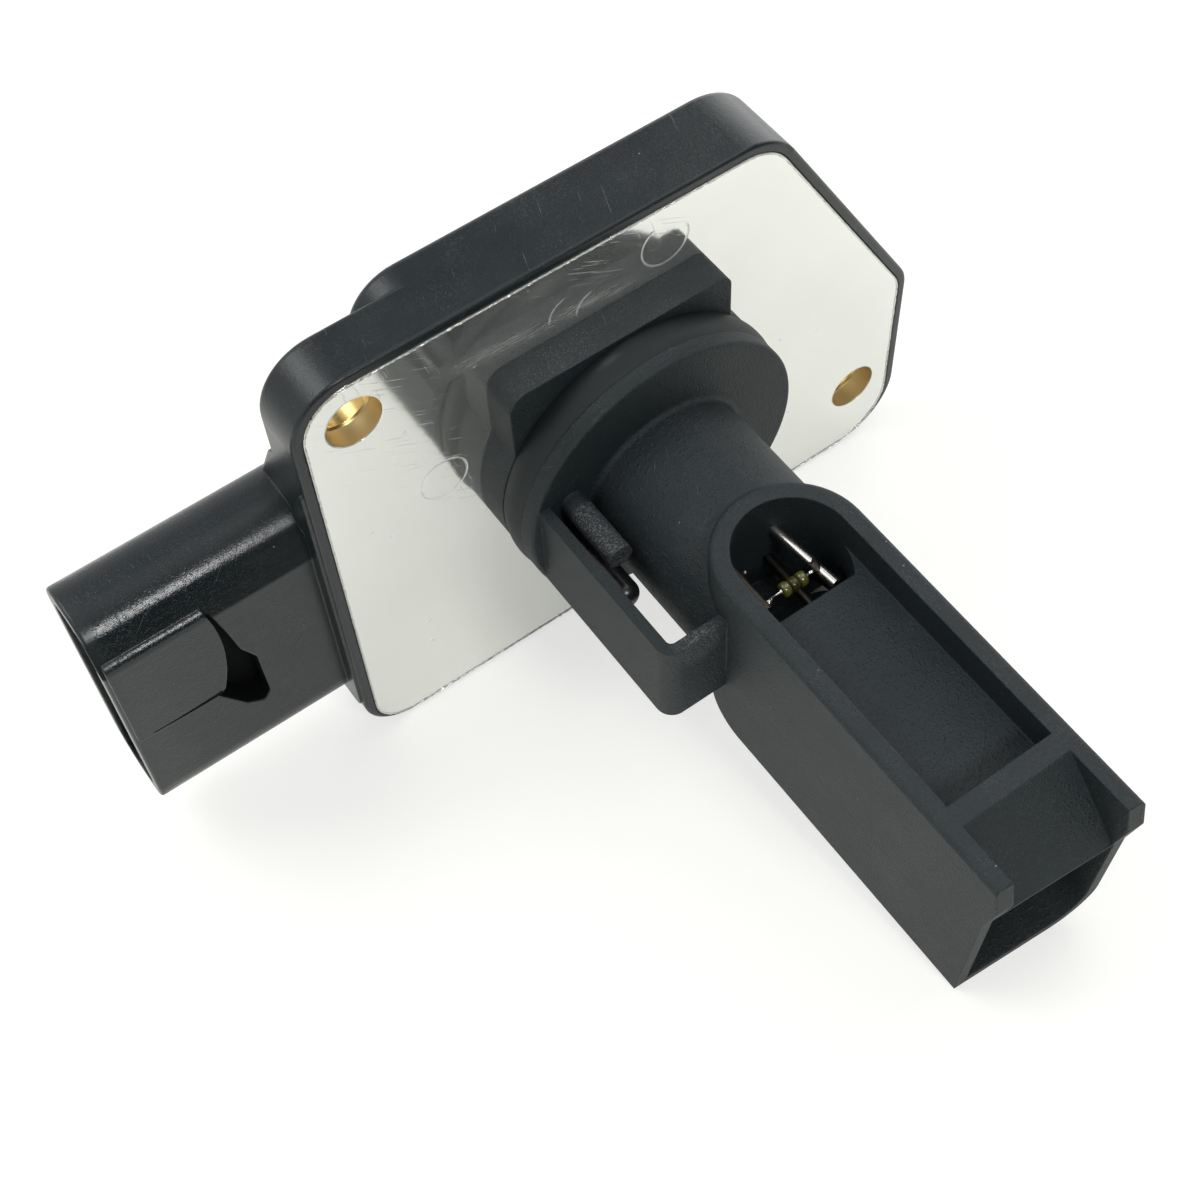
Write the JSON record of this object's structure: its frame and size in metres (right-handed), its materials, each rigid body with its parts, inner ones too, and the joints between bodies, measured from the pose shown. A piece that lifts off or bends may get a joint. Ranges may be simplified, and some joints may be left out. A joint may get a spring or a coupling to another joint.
{
  "type": "mass airflow sensor",
  "caption": "Plug-in hot-wire mass airflow sensor with a clipped flange plate, round spigot with seal ring, scoop-tipped probe and side-facing connector.",
  "frame": {"origin": "on the axis of the round spigot, at the base plate's outer face", "axes": "+Y from the probe tip towards the circuit housing, +Z out of the probe's scoop face, -X the way the connector points"},
  "size_m": [0.0826, 0.0702, 0.0497],
  "materials": {
    "housing_plastic": "glass-filled black moulding, satin, faintly scuffed",
    "probe_plastic": "glass-filled black moulding, satin, with fine tool marks",
    "plate_metal": "stamped, satin, with handling marks",
    "bush_metal": "turned",
    "seal_rubber": "smooth, slightly dusty",
    "lead_metal": "tinned",
    "terminal_metal": "tin plated",
    "element_glass": "glass glaze over a wire winding",
    "thermistor_coat": "dipped, glossy",
    "board_ceramic": "fired ceramic",
    "chip_epoxy": "moulded, matt",
    "capacitor_body": "fired ceramic with tinned ends",
    "sealant": "cured silicone"
  },
  "bodies": {
    "root": {"air_thermistor": "thermistor_coat", "base_plate": "plate_metal", "bond_wires": "lead_metal", "bush_left": "bush_metal", "bush_right": "bush_metal", "bypass_cover": "probe_plastic", "chip_capacitors": "capacitor_body", "chip_resistors": "chip_epoxy", "circuit_board": "board_ceramic", "control_chip": "chip_epoxy", "cover": "housing_plastic", "cover_seal": "sealant", "hot_wire_element": "element_glass", "hot_wire_lead_left": "lead_metal", "hot_wire_lead_right": "lead_metal", "housing": "housing_plastic", "plate_seal": "sealant", "power_transistor": "chip_epoxy", "probe_body": "probe_plastic", "reference_element": "element_glass", "reference_lead_left": "lead_metal", "reference_lead_right": "lead_metal", "seal_ring": "seal_rubber", "terminal_1": "terminal_metal", "terminal_2": "terminal_metal", "terminal_3": "terminal_metal", "terminal_4": "terminal_metal", "terminal_5": "terminal_metal", "thermistor_lead_lower": "lead_metal", "thermistor_lead_upper": "lead_metal"}
  },
  "joints": []
}
